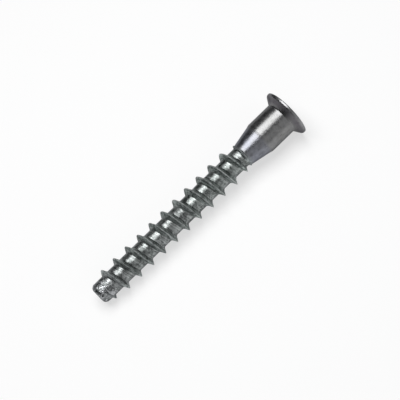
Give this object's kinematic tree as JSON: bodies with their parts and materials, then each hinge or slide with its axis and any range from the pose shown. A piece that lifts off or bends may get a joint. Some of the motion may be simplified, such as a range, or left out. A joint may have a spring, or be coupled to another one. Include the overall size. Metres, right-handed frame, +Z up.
{
  "type": "confirmat screw",
  "caption": "Countersunk furniture connecting screw with a hexagon socket, a plain neck, a cone and a coarse sharp thread to a blunt tail, for joining chipboard.",
  "frame": {"origin": "on the floor under the centre of the screw as it lies on its side", "axes": "+Z up; the screw lies along X, its head at +X and its tail at -X, the axis rising 2.4 degrees towards the head"},
  "size_m": [0.0502, 0.01, 0.01],
  "materials": {
    "zinc_plated_steel": "bright zinc plate, satin, with rolling marks"
  },
  "bodies": {
    "root": {"screw": "zinc_plated_steel"}
  },
  "joints": []
}
